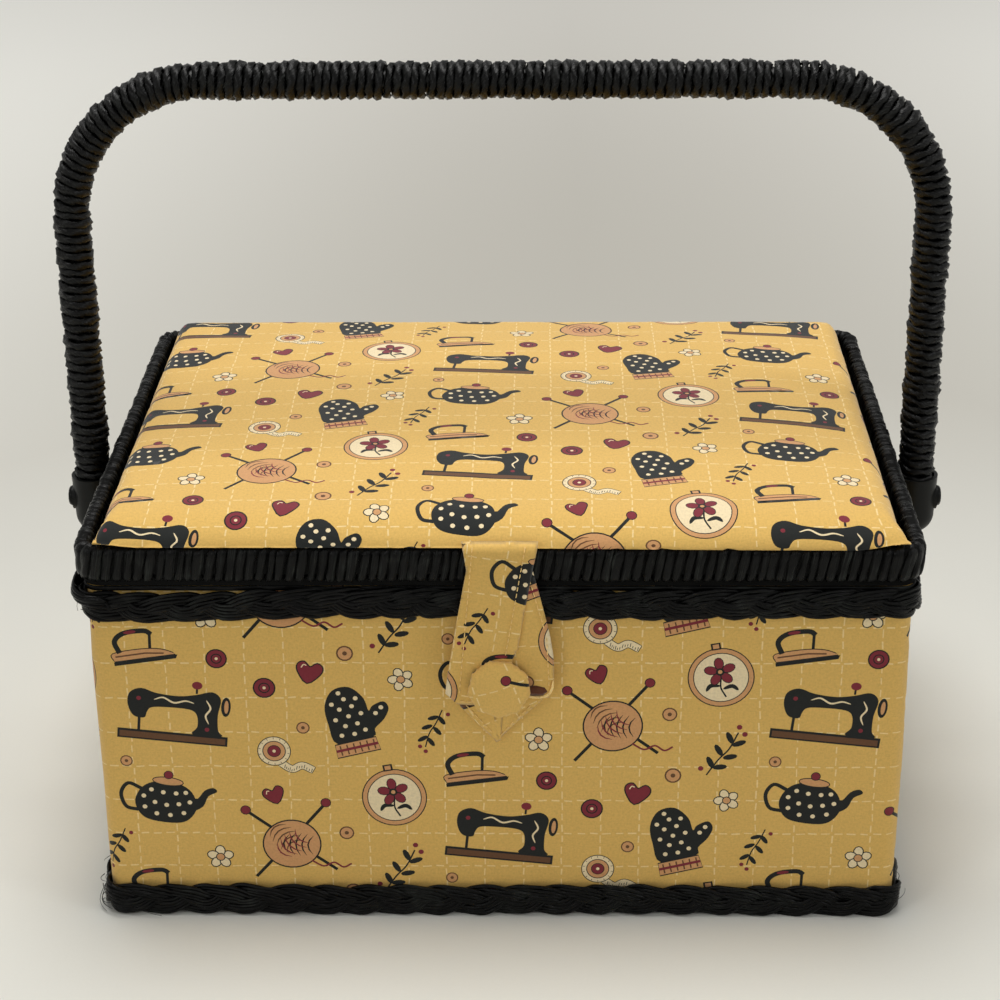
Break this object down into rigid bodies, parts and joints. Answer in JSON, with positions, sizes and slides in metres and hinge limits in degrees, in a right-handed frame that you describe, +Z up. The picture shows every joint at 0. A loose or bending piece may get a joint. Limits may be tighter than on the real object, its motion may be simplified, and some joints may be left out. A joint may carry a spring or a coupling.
{
  "type": "sewing carrier",
  "caption": "Rectangular cloth-covered sewing case with a padded hinged lid, wrapped rim, plaited trims, button-and-loop closure, lift-out tray and a swinging wrapped bail handle.",
  "frame": {"origin": "middle of the underside, on the plane that the case stands on", "axes": "+X to the right along the handle's grip and the hinge line, +Y to the back where the hinges are, +Z up"},
  "size_m": [0.3432, 0.2327, 0.2966],
  "materials": {
    "printed_cotton": "matte",
    "lining_cotton": "matte",
    "pincushion_cotton": "matte",
    "base_felt": "matte",
    "foam": "matte",
    "board": "matte",
    "black_wood": "satin",
    "paper_cord": "satin",
    "paper_plait": "satin",
    "black_plastic": "satin",
    "tray_plastic": "satin",
    "hinge_steel": "satin",
    "bright_steel": "satin",
    "black_steel": "satin"
  },
  "bodies": {
    "case": {"base_sheet": "base_felt", "base_board": "board", "front_board": "board", "back_board": "board", "left_board": "board", "right_board": "board", "case_cloth": "printed_cotton", "case_lining": "lining_cotton", "top_braid": "paper_plait", "base_braid": "paper_plait", "tray_support_left": "lining_cotton", "tray_support_right": "lining_cotton", "hinge_case_leaf_left": "hinge_steel", "hinge_case_leaf_right": "hinge_steel", "hinge_pin_left": "hinge_steel", "hinge_pin_right": "hinge_steel", "hinge_case_screws": "hinge_steel", "button_cover": "printed_cotton", "button_shell": "bright_steel", "button_shank": "bright_steel", "pivot_washer_left": "bright_steel", "pivot_washer_right": "bright_steel", "pivot_spacer_left": "black_plastic", "pivot_spacer_right": "black_plastic"},
    "lid": {"lid_frame": "black_wood", "lid_board": "board", "rim_core": "black_wood", "rim_wrap": "paper_cord", "lid_foam": "foam", "lid_cover": "printed_cotton", "lid_lining": "lining_cotton", "lid_pocket": "lining_cotton", "lid_pincushion": "pincushion_cotton", "hinge_lid_leaf_left": "hinge_steel", "hinge_lid_leaf_right": "hinge_steel", "hinge_lid_screws": "hinge_steel", "tab_anchor": "printed_cotton"},
    "tab": {"closing_tab": "printed_cotton"},
    "pivots": {"handle_rivet_left": "bright_steel", "handle_rivet_right": "bright_steel"},
    "handle": {"handle_tube": "black_steel", "handle_wrap": "paper_cord", "handle_cap_left": "black_plastic", "handle_cap_right": "black_plastic"},
    "tray": {"tray": "tray_plastic"}
  },
  "joints": [
    {"name": "lid_hinge", "type": "hinge", "parent": "case", "child": "lid", "pos_m": [0, 0.1132, 0.1374], "axis": [-1, 0, 0], "range_deg": [0, 100], "deforming": ["closing_tab"]},
    {"name": "tab_swing", "type": "hinge", "parent": "lid", "child": "tab", "pos_m": [0, -0.1105, 0.1525], "axis": [-1, 0, 0], "range_deg": [0, 120], "deforming": ["closing_tab"]},
    {"name": "pivot_turn", "type": "hinge", "parent": "case", "child": "pivots", "pos_m": [0, 0, 0.123], "axis": [-1, 0, 0], "range_deg": [-2, 122]},
    {"name": "handle_swing", "type": "hinge", "parent": "pivots", "child": "handle", "pos_m": [0, 0, 0.123], "axis": [-1, 0, 0], "range_deg": [-125, 5]},
    {"name": "tray_lift", "type": "slide", "parent": "case", "child": "tray", "axis": [0, 0, 1], "range_m": [0, 0.006]}
  ],
  "couplings": [
    {"joint": "pivot_turn", "follows": "lid_hinge", "ratio": 1.2}
  ]
}
